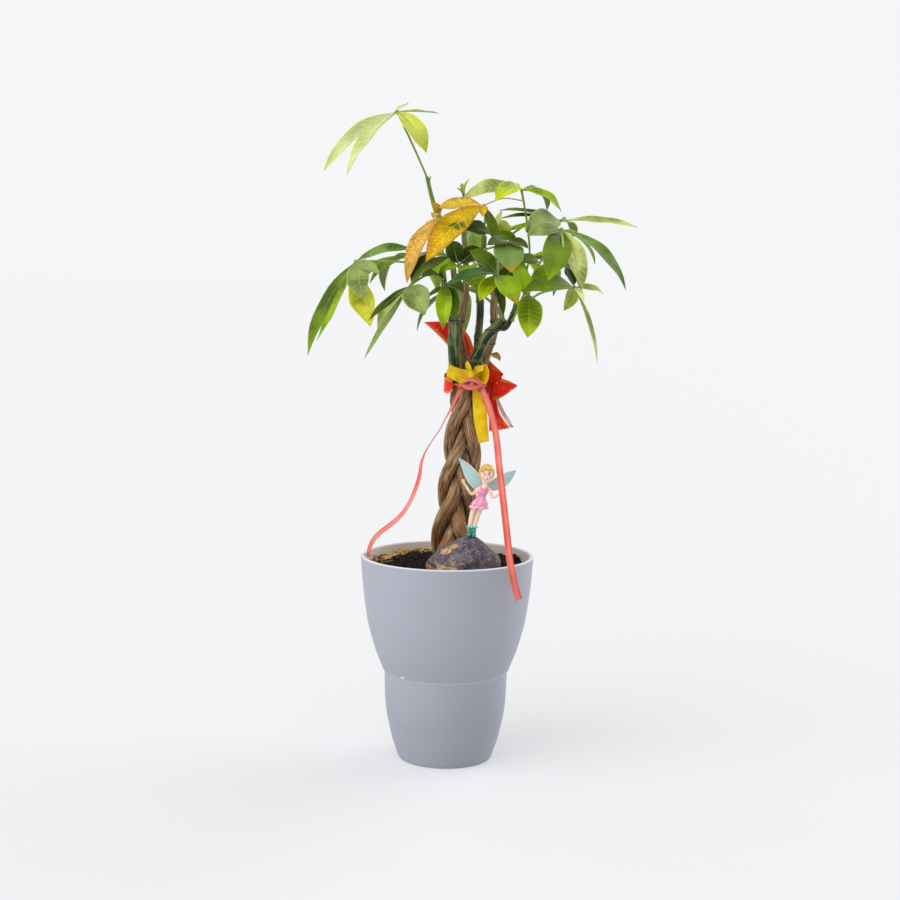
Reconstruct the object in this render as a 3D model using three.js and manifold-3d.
// A small money tree with five plaited stems in a grey two-tier pot. Its stems are tied with
// ribbons, and a stone and a garden fairy stand on the soil. Millimetres, +Z up.
// The origin is the centre of the pot's flat foot. The viewer looks along +Y.
import * as THREE from 'three';
import { mergeVertices } from 'three/addons/utils/BufferGeometryUtils.js';
import Module from 'manifold-3d';

const wasm = await Module();
wasm.setup();

// Driving dimensions
const gap = 0.3; // room left between two pieces that touch
const pot = { rimRadius: 70, height: 167.3, wall: 3.4, footRadius: 37.4, floor: 5, facets: 28 };
const soil = { top: 159, lump: 1.6, rise: 0.035 }; // rise to the back, a share of y
const plait = {
  strands: 5,
  period: 195, // height in which a strand comes back to where it started
  leftEdge: 224, // height at which the first strand lies at the left edge
  halfWidth: 11.5,
  halfDepth: 14.5,
  pinch: 0.82, // size at the tie, as a share of the size at the soil
  thin: -0.08, // share of the third wave, which keeps the crossings open
  square: 0.2, // share of the fourth wave
  footAxis: [1.6, 5],
  tieAxis: [16.2, 1],
  rootHeight: 137,
  soilHeight: 157,
  tieHeight: 302,
  step: 11,
  radius: 5.2,
  facets: 7,
  steps: 29,
};
const band = { thick: 0.7, facets: 22, slant: 1.17 }; // a slanting strand is wider across
const blade = { thick: 0.7, fold: 0.22, hub: 2.1, start: 1.2, petiole: 1.1 };

const colours = {
  pot: 0xa6a8b4,
  soil: 0x2b201b,
  stone: 0x4a444b,
  skin: 0xf1cdb0,
  wings: 0xa9d4da,
  bark: 0x7d6650,
  yellow: 0xf2bd12,
  red: 0xd9201a,
  coral: 0xee5f50,
  leaf: 0x5d8c3a,
  youngLeaf: 0xb5cf5d,
  yellowLeaf: 0xd9a728,
};

const vec = (x, y, z) => new THREE.Vector3(x, y, z);

// Mesh helpers

// A closed solid of a geometry, with equal corners merged.
function solidOf(geometry) {
  const bare = geometry.clone();
  bare.deleteAttribute('normal');
  bare.deleteAttribute('uv');
  const merged = mergeVertices(bare, 1e-4);
  return new wasm.Manifold(
    new wasm.Mesh({
      numProp: 3,
      vertProperties: new Float32Array(merged.attributes.position.array),
      triVerts: new Uint32Array(merged.index.array),
    }),
  );
}

function geometryOf(solid) {
  const mesh = solid.getMesh();
  const geometry = new THREE.BufferGeometry();
  geometry.setAttribute('position', new THREE.BufferAttribute(mesh.vertProperties, 3));
  geometry.setIndex(new THREE.BufferAttribute(mesh.triVerts, 1));
  return geometry;
}

const fuse = (geometries) => geometryOf(geometries.map(solidOf).reduce((a, b) => a.add(b)));

const cut = (geometry, tools) =>
  geometryOf(tools.map(solidOf).reduce((rest, tool) => rest.subtract(tool), solidOf(geometry)));

// Turns the faces of a closed indexed geometry outwards.
function facingOut(geometry) {
  const p = geometry.attributes.position;
  const index = geometry.index.array;
  const [a, b, c] = [vec(0, 0, 0), vec(0, 0, 0), vec(0, 0, 0)];
  let volume = 0;
  for (let i = 0; i < index.length; i += 3) {
    a.fromBufferAttribute(p, index[i]);
    b.fromBufferAttribute(p, index[i + 1]);
    c.fromBufferAttribute(p, index[i + 2]);
    volume += a.dot(b.cross(c));
  }
  if (volume < 0) index.reverse();
  return geometry;
}

// A closed skin over a row of rings, each with the same number of points. The sides in
// flipped are split along their other diagonal. A last ring of one point ends it in a tip.
function loft(rings, flipped = []) {
  const n = rings[0].length;
  const tip = rings[rings.length - 1].length === 1;
  const index = [];
  for (let r = 0; r + 1 < rings.length; r += 1) {
    for (let i = 0; i < n; i += 1) {
      const a = r * n + i;
      const b = r * n + ((i + 1) % n);
      if (tip && r + 2 === rings.length) index.push(a, b, (r + 1) * n);
      else if (flipped.includes(i)) index.push(a, b, a + n, b, b + n, a + n);
      else index.push(a, b, b + n, a, b + n, a + n);
    }
  }
  const end = (rings.length - 1) * n;
  for (let i = 1; i + 1 < n; i += 1) {
    index.push(0, i + 1, i);
    if (!tip) index.push(end, end + i, end + i + 1);
  }
  const geometry = new THREE.BufferGeometry().setFromPoints(rings.flat());
  geometry.setIndex(index);
  return facingOut(geometry);
}

// A closed round tube through points [x, y, z, radius], longer at its start by early.
function tube(points, facets, steps, early = 0) {
  const route = new THREE.CatmullRomCurve3(points.map(([x, y, z]) => vec(x, y, z)));
  const frames = route.computeFrenetFrames(steps, false);
  const rings = [];
  for (let s = 0; s <= steps; s += 1) {
    const along = route.getUtoTmapping(s / steps) * (points.length - 1);
    const k = Math.min(Math.floor(along), points.length - 2);
    const radius = THREE.MathUtils.lerp(points[k][3], points[k + 1][3], along - k);
    const centre = route.getPointAt(s / steps);
    if (s === 0) centre.addScaledVector(frames.tangents[0], -early);
    rings.push(
      Array.from({ length: facets }, (_, i) => {
        const angle = (2 * Math.PI * i) / facets;
        return centre
          .clone()
          .addScaledVector(frames.normals[s], radius * Math.cos(angle))
          .addScaledVector(frames.binormals[s], radius * Math.sin(angle));
      }),
    );
  }
  return loft(rings);
}

function ellipsoid(centre, radii, columns = 10, rows = 7) {
  const ball = new THREE.SphereGeometry(1, columns, rows);
  ball.rotateX(Math.PI / 2);
  ball.scale(...radii);
  ball.translate(...centre);
  return ball;
}

// A solid of revolution about Z from points [radius, height].
function turned(profile, facets) {
  const lathe = new THREE.LatheGeometry(profile.map(([r, z]) => new THREE.Vector2(r, z)), facets);
  lathe.rotateX(Math.PI / 2);
  lathe.deleteAttribute('normal');
  lathe.deleteAttribute('uv');
  return facingOut(mergeVertices(lathe, 1e-4));
}

// A smooth seedless bumpiness between about -1 and 1.
const bumps = (x, y, s) =>
  0.5 * Math.sin(x * s + 1.3 * Math.sin(y * s * 0.8)) + 0.5 * Math.cos(y * s * 1.3 + Math.sin(x * s * 1.7));

// Pot

// The outer face, from the foot up past the step between the two tiers to the rim.
const potOutside = [
  [pot.footRadius - 0.6, 0],
  [pot.footRadius + 0.4, 0.8],
  [40.3, 7],
  [44.4, 20],
  [47.8, 36],
  [49.4, 52],
  [50, 71.6],
  [51.2, 73.4],
  [54, 80.4],
  [59.4, 95],
  [63.8, 112],
  [67, 131],
  [69, 150],
  [pot.rimRadius, pot.height - 1.1],
  [pot.rimRadius - 0.8, pot.height],
];

// The inner face is the outer one moved in by the wall, from the rim down to the floor, with
// these of its corners.
const potInsideCorners = [2, 3, 5, 6, 9, 11, 12];
const potInside = potOutside
  .filter((_, i) => potInsideCorners.includes(i))
  .map(([r, z]) => [r - pot.wall, z])
  .reverse();

function makePot() {
  const rim = [[pot.rimRadius - pot.wall + 0.8, pot.height], [pot.rimRadius - pot.wall, pot.height - 1.1]];
  const floor = [[39, pot.floor], [0, pot.floor]];
  return turned([[0, 0], ...potOutside, ...rim, ...potInside, ...floor], pot.facets);
}

// Plait

class FigureEight extends THREE.Curve {
  getPoint(t, target = vec(0, 0, 0)) {
    const a = 2 * Math.PI * t;
    const x = plait.halfWidth * (Math.sin(a) + plait.thin * Math.sin(3 * a));
    const y = plait.halfDepth * (Math.sin(2 * a) + plait.square * Math.sin(4 * a));
    return target.set(x, y, 0);
  }
}
const eight = new FigureEight();
eight.arcLengthDivisions = 400;

// The centre of strand k of the plait at height z.
function plaited(k, z) {
  const turns = 0.75 + (z - plait.leftEdge) / plait.period + k / plait.strands;
  const point = eight.getPointAt(THREE.MathUtils.euclideanModulo(turns, 1));
  const rise = (z - plait.soilHeight) / (plait.tieHeight - plait.soilHeight);
  point.multiplyScalar(THREE.MathUtils.lerp(1, plait.pinch, rise));
  point.x += THREE.MathUtils.lerp(plait.footAxis[0], plait.tieAxis[0], rise);
  point.y += THREE.MathUtils.lerp(plait.footAxis[1], plait.tieAxis[1], rise);
  point.z = z;
  return point;
}

// Above the tie each strand goes its own way: points [x, y, z, radius], with its side shoots and
// the dried scales on it.
const stems = [
  {
    name: 'strand_5',
    tie: 3.8,
    run: [[25.4, 13, 311, 3.7], [27, 12.5, 320, 3.6], [32, 13, 335, 3.3], [36, 12, 350, 3.2],
      [35, 12, 366, 3.1], [36, 12, 385, 2.9], [38, 10, 404, 2.6], [39, 8, 420, 2.3]],
    shoots: [],
    scales: [{ from: [30.4, 11, 330], leaflet: [40.6, 6, 324.6, 9, 0.14] }],
  },
  {
    name: 'strand_3',
    tie: 3.9,
    run: [[24.6, -4.4, 311, 3.7], [23.5, 0.5, 320, 3.5], [22, 5, 335, 3.1], [23, 6, 350, 3.1],
      [24, 6, 366, 3], [23, 6, 385, 2.8], [25, 4, 405, 2.5], [26, 1, 424, 2.1]],
    shoots: [],
  },
  {
    name: 'strand_2',
    tie: 3.9,
    run: [[12.5, 8, 320, 3.6], [9.5, 6.5, 336, 3.1], [7.5, 5.5, 351, 2.8], [10, 5, 363, 2.8],
      [12, 4, 379, 2.6], [12, 4, 403, 2.3], [10, 4, 425, 2], [9, 4, 446, 1.5]],
    shoots: [],
  },
  {
    name: 'strand_1',
    tie: 4.5,
    run: [[4, -1, 320, 4.5], [3, -4, 335, 4.5], [3, -6, 347, 4.5], [3, -7, 358, 4.1],
      [-1, -8, 368, 2.9], [-4, -9, 381, 2.5], [-6, -10, 396, 2.3], [-6, -10, 406, 2]],
    shoots: [
      [[3, -7, 356, 2.8], [4, -4, 370, 2.6], [3, -2, 388, 2.4], [0, 1, 410, 2.2], [-7, 2, 430, 2.1],
        [-14, 2, 448, 2], [-20, 0, 470, 1.7]],
    ],
    scales: [{ from: [-17.4, 0.4, 461], leaflet: [-16.6, -2, 470.5, 3.6, 0.1] }],
  },
  {
    name: 'strand_4',
    tie: 4.5,
    run: [[14.4, -9.6, 311, 4.4], [18, -13.5, 323, 4.4], [24, -15, 335, 4.2], [29, -15, 345, 4.1],
      [36, -13, 352, 3.8], [42.5, -11, 359, 3.5]],
    shoots: [
      [[38, -12.5, 353, 2.8], [44, -14.5, 353, 2.4], [48, -15, 360, 2.1], [51, -14, 368, 1.9],
        [53, -13, 376, 1.6]],
    ],
  },
];

function strandRoute(k) {
  const { tie, run } = stems[k];
  const route = [];
  for (let z = plait.rootHeight; z <= plait.tieHeight; z += plait.step) {
    const share = (z - plait.rootHeight) / (plait.tieHeight - plait.rootHeight);
    route.push([...plaited(k, z).toArray(), THREE.MathUtils.lerp(plait.radius, tie, share ** 2)]);
  }
  return [...route, ...run];
}

function makeStrand(k) {
  const { shoots, scales = [] } = stems[k];
  const trunk = tube(strandRoute(k), plait.facets, plait.steps);
  const branches = shoots.map((points) => tube(points, 6, points.length * 2));
  const dried = scales.map(({ from, leaflet }) => makeLeaflet(vec(...from), leaflet));
  return fuse([trunk, ...branches, ...dried]);
}

// Soil, with a plain hole for each stem and a seat for the stone

// The stone's outline over its flat seat, as rings of [half width, half depth, height, shift x].
const stone = {
  centre: [12.5, -37, 152],
  rings: [
    [24, 15, 0, 0],
    [29, 19, 8, 0],
    [29, 19.5, 15, 0],
    [25.5, 17.5, 22, 1],
    [18, 13.5, 29, 3],
    [9, 7.5, 34.5, 5.5],
    [3.2, 3, 36.6, 6.5],
  ],
  facets: 16,
};

function makeStone(grow = 0) {
  const [cx, cy, cz] = stone.centre;
  const rings = stone.rings.map(([w, d, z, shift], r) =>
    Array.from({ length: stone.facets }, (_, i) => {
      const a = (2 * Math.PI * i) / stone.facets;
      const rough = 1 + 0.05 * Math.sin(3 * a + r) + 0.035 * Math.cos(5 * a - 2 * r);
      const x = (w * rough + grow) * Math.cos(a) + shift;
      const y = (d * rough + grow) * Math.sin(a);
      return vec(cx + x, cy + y, cz + z - (r === 0 ? grow : 0));
    }),
  );
  return loft(rings);
}

function makeSoil() {
  const profile = potInside.map(([r, z]) => [r - gap, z]).filter(([, z]) => z < soil.top - 4);
  const edge = potInside.find(([, z]) => z < soil.top)[0] - gap;
  const rings = [edge, 52, 36, 18, 0];
  const top = rings.map((r) => [r, soil.top]).reverse();
  const body = turned([...top, ...profile, [38, pot.floor + gap], [0, pot.floor + gap]], pot.facets);
  const p = body.attributes.position;
  for (let i = 0; i < p.count; i += 1) {
    const [x, y] = [p.getX(i), p.getY(i)];
    if (p.getZ(i) < soil.top - 0.1) continue;
    p.setZ(i, soil.top + soil.lump * bumps(x, y, 0.16) + soil.rise * y - (x * x + y * y) / 3200);
  }
  const holes = stems.map((_, k) => {
    const route = strandRoute(k).map(([x, y, z, r]) => [x, y, z, r + gap]);
    return tube(route, plait.facets, plait.steps, gap);
  });
  return cut(body, [...holes, makeStone(gap)]);
}

// Fairy: a plain moulded garden figure that leans back a little against the air
const fairy = {
  foot: [19, -38.5, 189.2],
  skirtHem: [24.5, -38.5, 211.5],
  waist: [26.3, -38.5, 220],
  shoulders: [28.2, -38.5, 227.6],
  head: [30.2, -38.5, 238.6],
};

function makeFairy() {
  const { foot, skirtHem, waist, shoulders, head } = fairy;
  const [fx, fy, fz] = foot;
  const legs = [-1, 1].map((side) =>
    tube(
      [[fx + side * 1.7, fy, fz + 2, 1.4], [fx + 2 + side * 2, fy, fz + 14, 1.9],
        [skirtHem[0] + side * 2.2, fy, skirtHem[2] + 3, 2.5]],
      6, 3,
    ),
  );
  const shoes = [-1, 1].map((side) =>
    ellipsoid([fx + side * 1.9, fy - 1.3, fz + 1.7], [2, 3.3, 2], 7, 4),
  );
  const hem = [skirtHem[0], fy, skirtHem[2], 7.2];
  const dress = tube([hem, [25.4, fy, 216, 4.9], [...waist, 3.4], [27.2, fy, 223.5, 4.1],
    [...shoulders, 3.4]], 9, 6);
  const neck = tube([[...shoulders, 1.6], [29.4, fy, 233.5, 1.6]], 6, 2);
  const face = ellipsoid(head, [5.2, 5.1, 6.3], 9, 7);
  const hair = ellipsoid([head[0] + 0.1, head[1] + 1.4, head[2] + 1.5], [6.1, 5.6, 7], 9, 7);
  const armLeft = tube([[24.6, fy, 226.4, 1.7], [18.4, -41, 222.6, 1.4], [11.9, -43, 233.2, 1.3]], 5, 4);
  const armRight = tube([[31.9, fy, 226.2, 1.7], [34.5, -40.5, 220.5, 1.4], [43, -43, 226, 1.3]], 5, 4);
  const collar = ellipsoid([28.2, fy, 226.2], [4.9, 3.2, 2.6], 8, 4);
  return fuse([dress, ...legs, ...shoes, neck, face, hair, armLeft, armRight, collar]);
}

// Each wing is a flat leaf-shaped plate [x, z] from the back of the shoulders to its tip.
const wings = {
  y: -31.6,
  thick: 0.9,
  left: [[27.6, 229.6], [23.4, 238.4], [8.6, 250.2], [10.6, 240.6], [18.2, 227.2], [26, 224.4]],
  right: [[28.4, 229.6], [33.6, 231.4], [43.5, 237.6], [53.4, 240.6], [48.6, 231.4], [40.6, 225.6],
    [30, 224.4]],
};

function plate(corners, thick) {
  const shape = new THREE.Shape(corners.map(([x, z]) => new THREE.Vector2(x, z)));
  const geometry = new THREE.ExtrudeGeometry(shape, { depth: thick, bevelEnabled: false });
  geometry.rotateX(Math.PI / 2);
  return geometry;
}

function makeWings() {
  const sides = [wings.left, wings.right].map((corners) =>
    plate(corners, wings.thick).translate(0, wings.y, 0),
  );
  const bridge = new THREE.BoxGeometry(5, 3, 4).translate(28.1, wings.y - 1.3, 228);
  return fuse([...sides, bridge]);
}

// Ribbons

// The outline of something pulled tight round the five strands, and round any held discs
// [x, y, radius], between two heights: in each direction the one that reaches furthest carries it.
function tightLoop(low, high, away, held = []) {
  const discs = [...held];
  for (let k = 0; k < plait.strands; k += 1) {
    const route = strandRoute(k);
    const centres = new THREE.CatmullRomCurve3(route.map(([x, y, z]) => vec(x, y, z)));
    const near = centres.getPoints(160).filter(({ z }) => z > low - 1 && z < high + 1);
    discs.push(...near.map(({ x, y }) => [x, y, stems[k].tie * band.slant]));
  }
  return Array.from({ length: band.facets }, (_, i) => {
    const a = (2 * Math.PI * i) / band.facets;
    const reach = ([x, y, r]) => x * Math.cos(a) + y * Math.sin(a) + r;
    const [x, y, r] = discs.reduce((best, disc) => (reach(disc) > reach(best) ? disc : best));
    return new THREE.Vector2(x + (r + away) * Math.cos(a), y + (r + away) * Math.sin(a));
  });
}

function ribbonBand(low, high, held) {
  const shape = new THREE.Shape(tightLoop(low, high, gap + band.thick, held));
  shape.holes.push(new THREE.Path(tightLoop(low, high, gap, held)));
  const geometry = new THREE.ExtrudeGeometry(shape, { depth: high - low, bevelEnabled: false });
  return geometry.translate(0, 0, low);
}

// A flat ribbon through stations of centre [x, y, z], half of its width as a vector, and the
// thickness between its faces.
function strip(stations, thick = band.thick) {
  const rings = stations.map(({ at, half }, s) => {
    const before = vec(...stations[Math.max(s - 1, 0)].at);
    const after = vec(...stations[Math.min(s + 1, stations.length - 1)].at);
    const side = vec(...half);
    const out = after.sub(before).cross(side).normalize().multiplyScalar(thick / 2);
    const centre = vec(...at);
    return [
      centre.clone().add(side).add(out),
      centre.clone().sub(side).add(out),
      centre.clone().sub(side).sub(out),
      centre.clone().add(side).sub(out),
    ];
  });
  return loft(rings, [2, 3]);
}

// A bow's loop: an oval band about an axis, with its near end at the knot.
function bowLoop({ length, depth, wide, tilt, turn, knot }) {
  const oval = (grow) =>
    Array.from({ length: 14 }, (_, i) => {
      const a = (2 * Math.PI * i) / 14;
      const belly = 0.75 + 0.25 * Math.cos(a);
      return new THREE.Vector2(
        (length / 2) * (1 + Math.cos(a)) + grow * Math.cos(a),
        (depth / 2) * belly * Math.sin(a) + grow * Math.sin(a),
      );
    });
  const shape = new THREE.Shape(oval(0));
  shape.holes.push(new THREE.Path(oval(-band.thick)));
  const geometry = new THREE.ExtrudeGeometry(shape, { depth: wide, bevelEnabled: false });
  geometry.translate(0, 0, -wide / 2);
  geometry.rotateX(tilt);
  geometry.rotateZ(turn);
  return geometry.translate(...knot);
}

const bow = {
  knot: [17, -20.4, 314],
  low: 309.5,
  high: 317.5,
  tailWidth: 10.5,
};

function makeYellowBow() {
  const { knot, low, high, tailWidth } = bow;
  const loops = [
    bowLoop({ length: 21, depth: 6.5, wide: 11, tilt: 0.12, turn: Math.PI - 0.05, knot }),
    bowLoop({ length: 15, depth: 12, wide: 9, tilt: 0.95, turn: 0.1, knot }),
  ];
  const centre = ellipsoid([knot[0], knot[1] + 0.6, knot[2] - 1], [4, 3.6, 5], 8, 5);
  const half = tailWidth / 2;
  const tail = strip([
    { at: [18.6, -17.6, 312], half: [3, 0, 0.6] },
    { at: [22.4, -14.2, 307.6], half: [4.6, 0.2, 0.8] },
    { at: [22.8, -14, 302.4], half: [4.8, 0.2, 0.5] },
    { at: [24.4, -16.8, 294], half: [half, 0.3, 0.6] },
    { at: [26.4, -18.6, 281], half: [half, 0.6, 0.4] },
    { at: [28.6, -19.4, 263.5], half: [half, 0.4, 0.9] },
  ]);
  return fuse([ribbonBand(low, high), centre, ...loops, tail]);
}

// The red ribbon passes behind the plait: a short loop at the left, a tail that rises to the
// left behind the stems, and a folded panel, a wing and a tail at the right.
function makeRedRibbon() {
  const wrap = strip([
    { at: [-2.8, -6, 304], half: [0.4, 0, 6] },
    { at: [-4.3, 5, 306], half: [0.3, 0.2, 7] },
    { at: [0.4, 16.2, 308], half: [0, 0.4, 8] },
    { at: [12, 20.7, 309], half: [0, 0, 8.5] },
    { at: [24, 21.3, 309], half: [0, 0, 8.5] },
    { at: [32.4, 19.5, 309], half: [0.6, 0, 8.5] },
  ]);
  const leftTail = strip([
    { at: [16, 20.9, 313], half: [7, 0, 3] },
    { at: [13, 21.4, 325], half: [7.4, 0, 4.4] },
    { at: [8, 20.8, 338], half: [8, 0, 5] },
    { at: [-1, 19.4, 348], half: [8.6, 0, 4] },
    { at: [-12.5, 17.6, 355], half: [9.5, 0, 0.6] },
  ]);
  const panel = strip([
    { at: [24, 21.2, 318], half: [5, 0, 6] },
    { at: [34.5, 18, 312], half: [5, 0, 10.5] },
    { at: [40.5, 12, 303], half: [5.6, 0, 10.4] },
  ]);
  const wing = strip([
    { at: [35.4, 17, 304], half: [2, 0, 9] },
    { at: [41, 11.4, 304.6], half: [0.6, 0, 7.6] },
    { at: [47.5, 8, 304], half: [-0.6, 0, 4.6] },
    { at: [53.6, 5.4, 304.8], half: [-0.3, 0, 1] },
  ]);
  const lowTail = strip([
    { at: [37, 15.4, 303], half: [4, 0, 3] },
    { at: [38.4, 10, 293], half: [4.4, 0.6, 1.4] },
    { at: [37.4, 3, 282], half: [6.6, 0.4, 0.6] },
    { at: [40.6, -1.6, 270.5], half: [10, -0.6, 1.6] },
  ]);
  return fuse([wrap, leftTail, panel, wing, lowTail]);
}

// The coral curling ribbon: a narrow band under the bow with its small knot and loop.
const coral = {
  low: 302.6,
  high: 307.4,
  width: 5.4,
  thick: 0.6,
  held: [[18, -14.4, 1], [27.6, -14, 1]], // the yellow tail's edges, which it also holds
};

function makeCoralBand() {
  const knot = ellipsoid([16.4, -16.8, 305], [4.6, 2.2, 2.7], 8, 5);
  return fuse([ribbonBand(coral.low, coral.high, coral.held), knot]);
}

// The two long ends, as routes of [x, y, z] with the ribbon's turn about its own line in degrees.
const coralRoutes = {
  coral_tail_left: [
    [11.2, -17.6, 304.6, 40], [8.4, -20, 302, 50], [5, -20.4, 295.5, 62], [1.5, -19.6, 287.5, 70],
    [-3, -19, 279.5, 76], [-7.2, -18.6, 271, 80], [-11.6, -18.8, 264.6, 78], [-15.6, -19.4, 258.2, 72],
    [-19, -20, 251.6, 64], [-21.4, -20.2, 244.4, 58], [-22.4, -20.2, 236.8, 58], [-24.2, -20.2, 228.6, 62],
    [-27.4, -20, 219.6, 66], [-31, -19.6, 211.4, 62], [-35.6, -18.6, 204.2, 54], [-41.4, -16.4, 197.6, 44],
    [-48, -12.4, 191.6, 38], [-54.4, -8, 186, 36], [-59.6, -3.6, 179.6, 40], [-63.2, 0.4, 171.6, 52],
    [-64.2, 2.2, 164.6, 62],
  ],
  coral_tail_right: [
    [21.4, -17.8, 305.4, 10], [24.4, -20.6, 304.2, 14], [27.8, -24, 299.4, 18], [31, -28, 291.6, 20],
    [33.8, -33.4, 282.6, 22], [36.4, -36.6, 272, 22], [38.2, -40, 260, 20], [39.4, -43.4, 248, 18],
    [41, -47, 235, 16], [42.8, -51, 221.6, 16], [44.6, -55.6, 207, 14], [46.4, -60.4, 192, 12],
    [48, -65, 178, 8], [49.6, -67.4, 169.4, 0], [51.4, -69, 161, -8], [53.6, -69.4, 152.6, -14],
    [56, -68.4, 145, -18],
  ],
};

function makeCoralTail(points) {
  const route = new THREE.CatmullRomCurve3(points.map(([x, y, z]) => vec(x, y, z)));
  const steps = points.length - 1;
  const stations = [];
  for (let s = 0; s <= steps; s += 1) {
    const t = s / steps;
    const at = route.getPoint(t);
    const along = route.getTangent(t);
    const k = Math.min(Math.floor(t * (points.length - 1)), points.length - 2);
    const turn = THREE.MathUtils.lerp(points[k][3], points[k + 1][3], t * (points.length - 1) - k);
    const side = along.clone().cross(vec(0, -1, 0)).normalize();
    side.applyAxisAngle(along, THREE.MathUtils.degToRad(turn));
    stations.push({ at: at.toArray(), half: side.multiplyScalar(coral.width / 2).toArray() });
  }
  return strip(stations, coral.thick);
}

// Leaves

// Share of the half width at each share of a leaflet's length.
const bladeRows = [[0, 0.1], [0.17, 0.55], [0.46, 1], [0.78, 0.7], [1, 0]];
const slimRows = [[0, 0.12], [0.28, 0.84], [0.66, 0.9], [1, 0]];
const slimWidth = 12.5; // leaflets narrower than this have fewer rows
const plantAxis = vec(15, 0, 0);
const light = vec(0, -0.6, 0.8); // the leaves turn their faces up and to the viewer's side

// A thin arched leaflet, folded up a little along its midrib, from the hub to its tip.
// leaflet is [tip x, y, z, width, lift as a share of its length, roll in degrees].
function makeLeaflet(hub, leaflet) {
  const [x, y, z, width, lift = 0.14, roll = 0] = leaflet;
  const along = vec(x, y, z).sub(hub).normalize();
  const base = hub.clone().addScaledVector(along, blade.start);
  const chord = vec(x, y, z).sub(base);
  const length = chord.length();
  const outwards = vec(x, y, 0).sub(plantAxis).normalize();
  const normal = light.clone().addScaledVector(outwards, 0.4);
  normal.addScaledVector(along, -normal.dot(along)).normalize();
  normal.applyAxisAngle(along, THREE.MathUtils.degToRad(roll));
  const side = along.clone().cross(normal);
  const rings = (width < slimWidth ? slimRows : bladeRows).map(([t, share], row) => {
    const centre = base.clone().addScaledVector(chord, t);
    centre.addScaledVector(normal, lift * length * 4 * t * (1 - t));
    const face = normal.clone().addScaledVector(along, -lift * 4 * (1 - 2 * t)).normalize();
    const half = (share * width) / 2;
    const rise = blade.fold * half + (row % 2 ? 0.35 : -0.35) * share;
    if (share === 0) return [centre];
    const top = [-1, 0, 1].map((k) =>
      centre.clone().addScaledVector(side, k * half).addScaledVector(face, Math.abs(k) * rise),
    );
    const low = top.map((point) => point.clone().addScaledVector(face, -blade.thick)).reverse();
    return [...top, ...low];
  });
  return loft(rings, [3, 4]);
}

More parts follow.
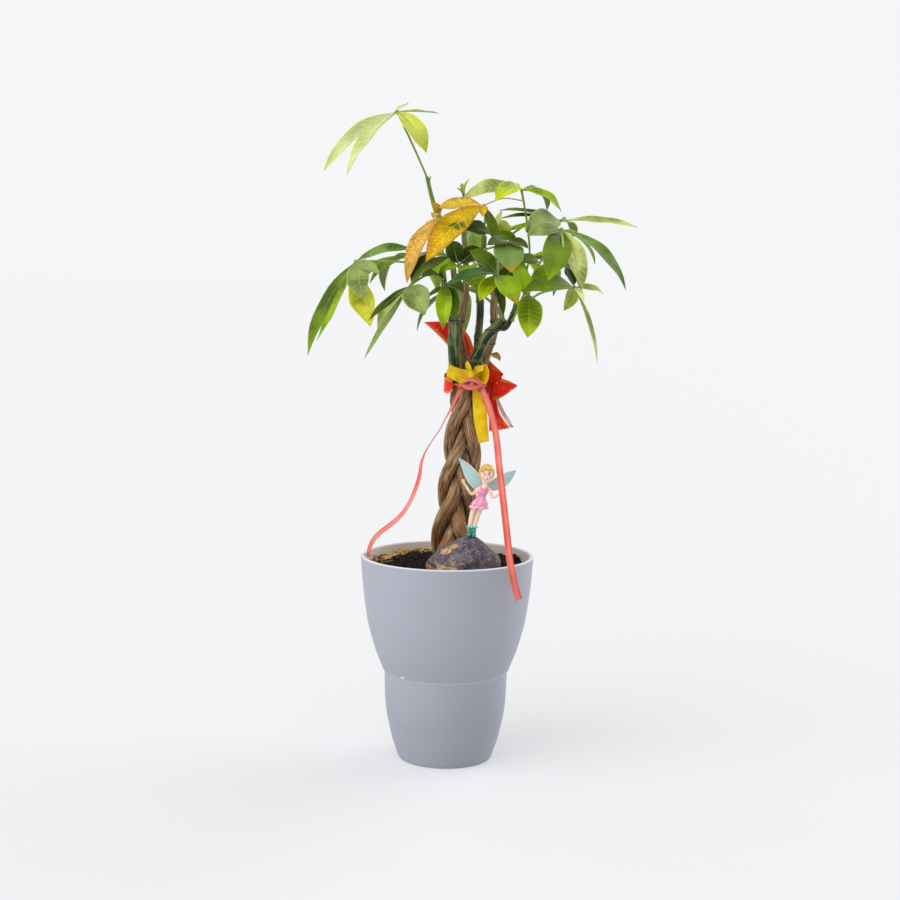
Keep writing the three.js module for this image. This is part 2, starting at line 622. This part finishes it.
// Each leaf: its colour, its petiole from the stem to the hub, and its leaflets.
const leaves = {
  top: {
    colour: 'youngLeaf',
    petiole: [[-20.3, -0.1, 470.5], [-32, -2.5, 496], [-44, -5, 520]],
    leaflets: [[-99, -30, 472, 18, 0.09], [-84, 14, 471, 20, 0.08], [-20, -24, 487, 17, 0.14, -20],
      [-11, 18, 521, 8, 0.02], [-36, 36, 530, 7, 0.02]],
  },
  yellow: {
    colour: 'yellowLeaf',
    petiole: [[26, 0.8, 425], [26.4, -13, 441], [25, -30, 447]],
    leaflets: [[-19, -62, 403, 23, 0.1], [-11, -20, 445, 12, 0.14], [24, -42, 438, 7],
      [34.7, -34, 418, 9, 0.06]],
  },
  brown: {
    colour: 'yellowLeaf',
    petiole: [[-6, -10, 406.7], [-8, -11, 424], [-9, -12, 439]],
    leaflets: [[-34, -35, 386.5, 14, 0.14], [-24, 10, 409, 13], [-15.4, -18, 449, 7, 0.2],
      [-14, -32, 436, 7]],
  },
  far_left: {
    colour: 'leaf',
    petiole: [[-8.8, -10.2, 400], [-42, -18, 403], [-75, -15, 403]],
    leaflets: [[-111, -30, 329, 14, 0.08], [-107, 6, 339, 12, -0.02], [-64, 5, 351, 27, -0.03],
      [-66.7, -48, 374, 18, 0.04], [-54.7, -44, 394, 9, 0.03], [-30, -6, 413, 13, 0.08]],
  },
  left: {
    colour: 'leaf',
    petiole: [[-7.6, -11.8, 391.5], [-18, -26, 393], [-31, -35, 385]],
    leaflets: [[-62, -60, 358, 8, 0.03], [-57, -25, 351, 14, 0.08], [-66, -48, 328, 8, 0.03],
      [-19, -62, 363, 21, 0.1], [-17, -30, 410, 10, 0.08], [-1, -58, 407, 10, 0.08]],
  },
  front: {
    colour: 'leaf',
    petiole: [[-4.4, -12, 384.5], [-4, -30, 390], [-4, -45, 386]],
    leaflets: [[-5, -76, 353, 12.5, 0.1], [4, -62, 360, 13, 0.1], [-22, -72, 392, 11], [10, -76, 380, 11],
      [-2, -62, 402, 9]],
  },
  centre: {
    colour: 'leaf',
    petiole: [[37.4, 6.8, 404], [37, -18, 405], [36, -45, 394]],
    leaflets: [[-3, -82, 386, 11, 0.12], [42, -52, 360, 16, 0.06], [50, -76, 372, 18, 0.1],
      [14, -48, 412, 15, 0.1], [22, -58, 374, 12, 0.08]],
  },
  right_top: {
    colour: 'leaf',
    petiole: [[53.2, -12.9, 376.6], [60, -9, 398], [62, -7, 414], [59, -3, 440], [55, 0, 461]],
    leaflets: [[8, -12, 452, 15, 0.16], [33, -38, 450, 14, 0.14], [87, 3, 444, 12, 0.16],
      [36, 44, 455, 13, 0.14], [78, 44, 446, 12, 0.14]],
  },
  right_upper: {
    colour: 'leaf',
    petiole: [[41.6, 8.2, 421], [65, 8, 436], [87, 5, 437]],
    leaflets: [[148, 0, 432.5, 9, 0.04], [58, -24, 427, 22, 0.1], [38, 20, 445, 9, 0.06],
      [60, 40, 430, 12, 0.1], [100, 56, 424, 12, 0.1], [37.5, 17, 438, 8, 0.06],
      [40, 8, 427, 7, 0.03]],
  },
  right: {
    colour: 'leaf',
    petiole: [[53.6, -16, 369.5], [69, -20, 402], [86, -20, 430]],
    leaflets: [[137, -25, 383, 13, 0.15], [101, -50, 384, 18, 0.1], [116, 18, 403, 12, 0.1],
      [74, -62, 390, 22, 0.08], [58, -44, 424, 13, 0.08]],
  },
  right_low: {
    colour: 'leaf',
    petiole: [[51.2, -17.8, 364.5], [70, -32, 380], [96, -35, 385]],
    leaflets: [[54, -72, 382, 15, 0.1], [115, -35, 326, 5, 0.06], [102, -55, 375, 6, 0.06],
      [90, -8, 366, 11, 0.1], [90, -22, 400, 10, 0.06], [120, -16, 380, 8, 0.1]],
  },
  hanging: {
    colour: 'leaf',
    petiole: [[49, -18, 358], [55, -34, 372], [60, -46, 380]],
    leaflets: [[59, -68, 347, 20, 0.1], [76, -28, 402, 13, 0.1], [66, -24, 356, 11, 0.08]],
  },
  young: {
    colour: 'youngLeaf',
    petiole: [[9, 4, 446.5], [9, 4.4, 451], [9.6, 5, 454.5]],
    leaflets: [[14, 5, 469, 4.4], [4, -1, 461, 4.4], [8, 15, 466, 4.4]],
  },
  triangular: {
    colour: 'leaf',
    petiole: [[27, 0.2, 413.5], [39, -26, 417], [42, -54, 419]],
    leaflets: [[45, -84, 396, 23, 0.06], [27, -74, 416, 10, 0.1], [58, -72, 414, 10, 0.1]],
  },
  inner: {
    colour: 'leaf',
    petiole: [[36.6, 6, 414.5], [34, -4, 422], [31, -14, 426]],
    leaflets: [[11, -30, 428, 16, 0.1], [48, 12, 432, 12, 0.1], [53, -12, 418, 12, 0.1],
      [39.6, -10, 444, 5, 0.02]],
  },
  mid_left: {
    colour: 'leaf',
    petiole: [[11, 0.8, 392], [8, -14, 400], [6, -24, 401]],
    leaflets: [[-16, -36, 394, 14, 0.1], [24, -44, 380, 17, 0.1], [24, -22, 414, 14, 0.1],
      [0, -20, 420, 14, 0.08]],
  },
  mid_right: {
    colour: 'leaf',
    petiole: [[38.6, 8.6, 385], [45, -8, 397], [49, -24, 403]],
    leaflets: [[36, -30, 376, 16, 0.1], [58, -34, 378, 15, 0.1], [70, -6, 404, 12, 0.1],
      [38, -22, 412, 12, 0.1]],
  },
  mid_back: {
    colour: 'leaf',
    petiole: [[24.6, 9.4, 386], [32, 22, 402], [36, 30, 408]],
    leaflets: [[14, 42, 392, 18, 0.1], [42, 58, 380, 16, 0.1], [64, 28, 392, 16, 0.1],
      [50, 20, 426, 14, 0.08]],
  },
  back_left: {
    colour: 'leaf',
    petiole: [[9.8, 6.2, 396], [-8, 26, 408], [-28, 42, 408]],
    leaflets: [[-82, 60, 365, 15, 0.2], [-56, 88, 378, 15, 0.2], [-10, 98, 375, 15, 0.2],
      [-66, 30, 385, 14, 0.14], [2, 64, 404, 11, 0.1]],
  },
  back: {
    colour: 'leaf',
    petiole: [[11.2, 6.6, 416], [15, 35, 428], [18, 62, 428]],
    leaflets: [[-18, 104, 398, 16, 0.2], [20, 128, 400, 16, 0.2], [60, 98, 405, 15, 0.2],
      [-22, 46, 425, 13, 0.1], [50, 52, 428, 12, 0.1]],
  },
  back_right: {
    colour: 'leaf',
    petiole: [[39.2, 14, 391], [52, 34, 404], [62, 50, 408]],
    leaflets: [[112, 72, 372, 16, 0.2], [88, 102, 375, 15, 0.2], [44, 100, 372, 15, 0.2],
      [112, 34, 398, 13, 0.14], [76, 40, 384, 14, 0.06]],
  },
  back_low: {
    colour: 'leaf',
    petiole: [[12, 7.6, 373], [11, 30, 384], [10, 48, 382]],
    leaflets: [[-28, 76, 345, 14, 0.14], [12, 98, 340, 14, 0.14], [46, 80, 345, 14, 0.14],
      [-22, 36, 372, 11, 0.1], [40, 36, 372, 11, 0.1]],
  },
};

function makeLeaf({ petiole, leaflets }) {
  const hub = vec(...petiole[petiole.length - 1]);
  const last = petiole.length - 1;
  const stalk = tube(
    petiole.map((point, i) => [...point, blade.petiole + (i === 0 ? 0.35 : 0)]),
    5, last + 1,
  );
  const knob = new THREE.IcosahedronGeometry(blade.hub).translate(...hub.toArray());
  return fuse([stalk, knob, ...leaflets.map((leaflet) => makeLeaflet(hub, leaflet))]);
}

// Assembly

const group = new THREE.Group();

function add(name, geometry, colour, roughness = 0.7, metalness = 0) {
  const material = new THREE.MeshStandardMaterial({ color: colours[colour], roughness, metalness });
  const mesh = new THREE.Mesh(geometry, material);
  mesh.name = name;
  group.add(mesh);
}

add('pot', makePot(), 'pot', 0.75);
add('soil', makeSoil(), 'soil', 0.95);
add('stone', makeStone(), 'stone', 0.8);
add('fairy', makeFairy(), 'skin', 0.4);
add('fairy_wings', makeWings(), 'wings', 0.35);
stems.forEach(({ name }, k) => add(name, makeStrand(k), 'bark', 0.85));
add('yellow_bow', makeYellowBow(), 'yellow', 0.5);
add('red_ribbon', makeRedRibbon(), 'red', 0.4);
add('coral_band', makeCoralBand(), 'coral', 0.35);
for (const [name, points] of Object.entries(coralRoutes)) {
  add(name, makeCoralTail(points), 'coral', 0.35);
}
for (const [name, leaf] of Object.entries(leaves)) {
  add(`leaf_${name}`, makeLeaf(leaf), leaf.colour, 0.5);
}

export default group;
